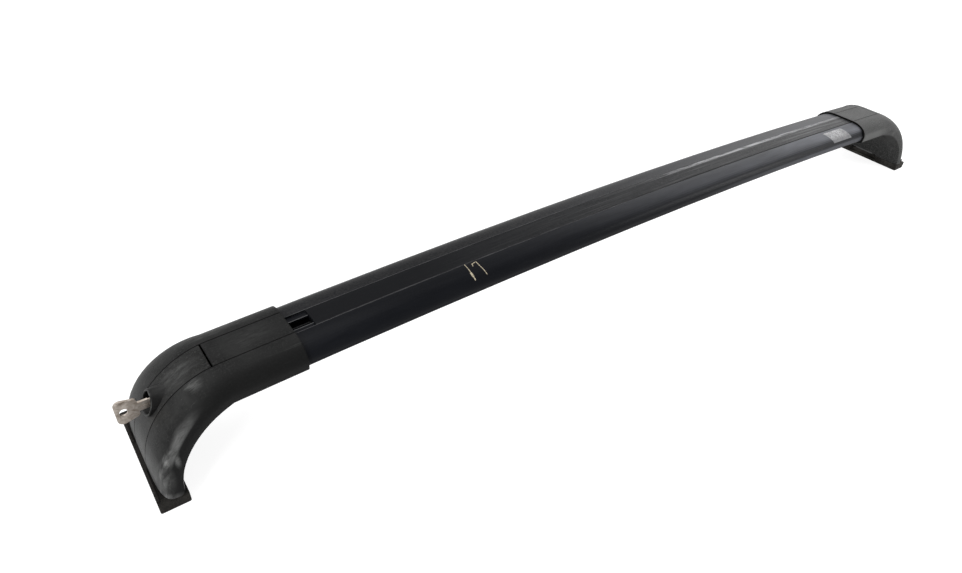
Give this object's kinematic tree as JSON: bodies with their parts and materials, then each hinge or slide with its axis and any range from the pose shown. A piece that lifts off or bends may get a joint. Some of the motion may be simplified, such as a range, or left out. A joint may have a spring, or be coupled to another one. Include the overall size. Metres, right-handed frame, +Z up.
{
  "type": "roof rack crossbar",
  "caption": "Arched aero crossbar with a rubber-filled top slot, on two moulded feet with hinged locking covers, rubber base pads and downward mounting bolts.",
  "frame": {"origin": "midway between the two feet, on the bar's centre plane, in the plane that the base pads stand on", "axes": "+X along the bar, from the foot with the key towards the other foot; +Y across the bar, away from the side that the slot is offset to; +Z up"},
  "size_m": [1.1543, 0.115, 0.0987],
  "materials": {
    "bar_coat": "satin black",
    "strip_rubber": "matt dark grey",
    "foot_plastic": "finely textured charcoal",
    "pad_rubber": "matt brown-black",
    "bracket_metal": "as cast",
    "fastener_steel": "zinc plated",
    "lock_metal": "dull plated",
    "key_metal": "worn nickel",
    "collar_nylon": "natural nylon"
  },
  "bodies": {
    "bar_and_feet": {"bar_extrusion": "bar_coat", "slot_strip": "strip_rubber", "left_housing": "foot_plastic", "left_top_panel": "foot_plastic", "left_hinge_pin": "fastener_steel", "left_bracket": "bracket_metal", "left_base_pad": "pad_rubber", "left_bar_screws": "fastener_steel", "left_housing_screws": "fastener_steel", "right_housing": "foot_plastic", "right_top_panel": "foot_plastic", "right_hinge_pin": "fastener_steel", "right_bracket": "bracket_metal", "right_base_pad": "pad_rubber", "right_bar_screws": "fastener_steel", "right_housing_screws": "fastener_steel"},
    "left_cover": {"left_lock_cover": "foot_plastic", "left_lock_barrel": "lock_metal", "left_lock_clip": "fastener_steel"},
    "left_lock": {"left_lock_plug": "lock_metal", "left_lock_cam": "fastener_steel", "left_cam_screw": "fastener_steel"},
    "left_key_part": {"left_key": "key_metal"},
    "left_collar": {"left_bolt_collar": "collar_nylon"},
    "left_bolt": {"left_mount_bolt": "fastener_steel"},
    "right_cover": {"right_lock_cover": "foot_plastic", "right_lock_barrel": "lock_metal", "right_lock_clip": "fastener_steel"},
    "right_lock": {"right_lock_plug": "lock_metal", "right_lock_cam": "fastener_steel", "right_cam_screw": "fastener_steel"},
    "right_collar": {"right_bolt_collar": "collar_nylon"},
    "right_bolt": {"right_mount_bolt": "fastener_steel"}
  },
  "joints": [
    {"name": "left_cover_hinge", "type": "hinge", "parent": "bar_and_feet", "child": "left_cover", "pos_m": [-0.498, 0, 0.08282], "axis": [0, 1, 0], "range_deg": [0, 55]},
    {"name": "left_lock_turn", "type": "hinge", "parent": "left_cover", "child": "left_lock", "pos_m": [-0.545, 0, 0.0635], "axis": [-1, 0, 0], "range_deg": [0, 90]},
    {"name": "left_key_slide", "type": "slide", "parent": "left_lock", "child": "left_key_part", "axis": [-1, 0, 0], "range_m": [0, 0.03]},
    {"name": "left_bolt_drop", "type": "slide", "parent": "bar_and_feet", "child": "left_collar", "axis": [0, 0, -1], "range_m": [0, 0.01]},
    {"name": "left_bolt_turn", "type": "hinge", "parent": "left_collar", "child": "left_bolt", "pos_m": [-0.5603, 0, 0.02], "axis": [0, 0, -1], "range_deg": [0, 3600]},
    {"name": "right_cover_hinge", "type": "hinge", "parent": "bar_and_feet", "child": "right_cover", "pos_m": [0.498, 0, 0.08282], "axis": [0, -1, 0], "range_deg": [0, 55]},
    {"name": "right_lock_turn", "type": "hinge", "parent": "right_cover", "child": "right_lock", "pos_m": [0.545, 0, 0.0635], "axis": [-1, 0, 0], "range_deg": [0, 90]},
    {"name": "right_bolt_drop", "type": "slide", "parent": "bar_and_feet", "child": "right_collar", "axis": [0, 0, -1], "range_m": [0, 0.01]},
    {"name": "right_bolt_turn", "type": "hinge", "parent": "right_collar", "child": "right_bolt", "pos_m": [0.5603, 0, 0.02], "axis": [0, 0, -1], "range_deg": [0, 3600]}
  ],
  "couplings": [
    {"joint": "left_bolt_turn", "follows": "left_bolt_drop", "rad_per_m": 6283.2},
    {"joint": "right_bolt_turn", "follows": "right_bolt_drop", "rad_per_m": 6283.2}
  ]
}
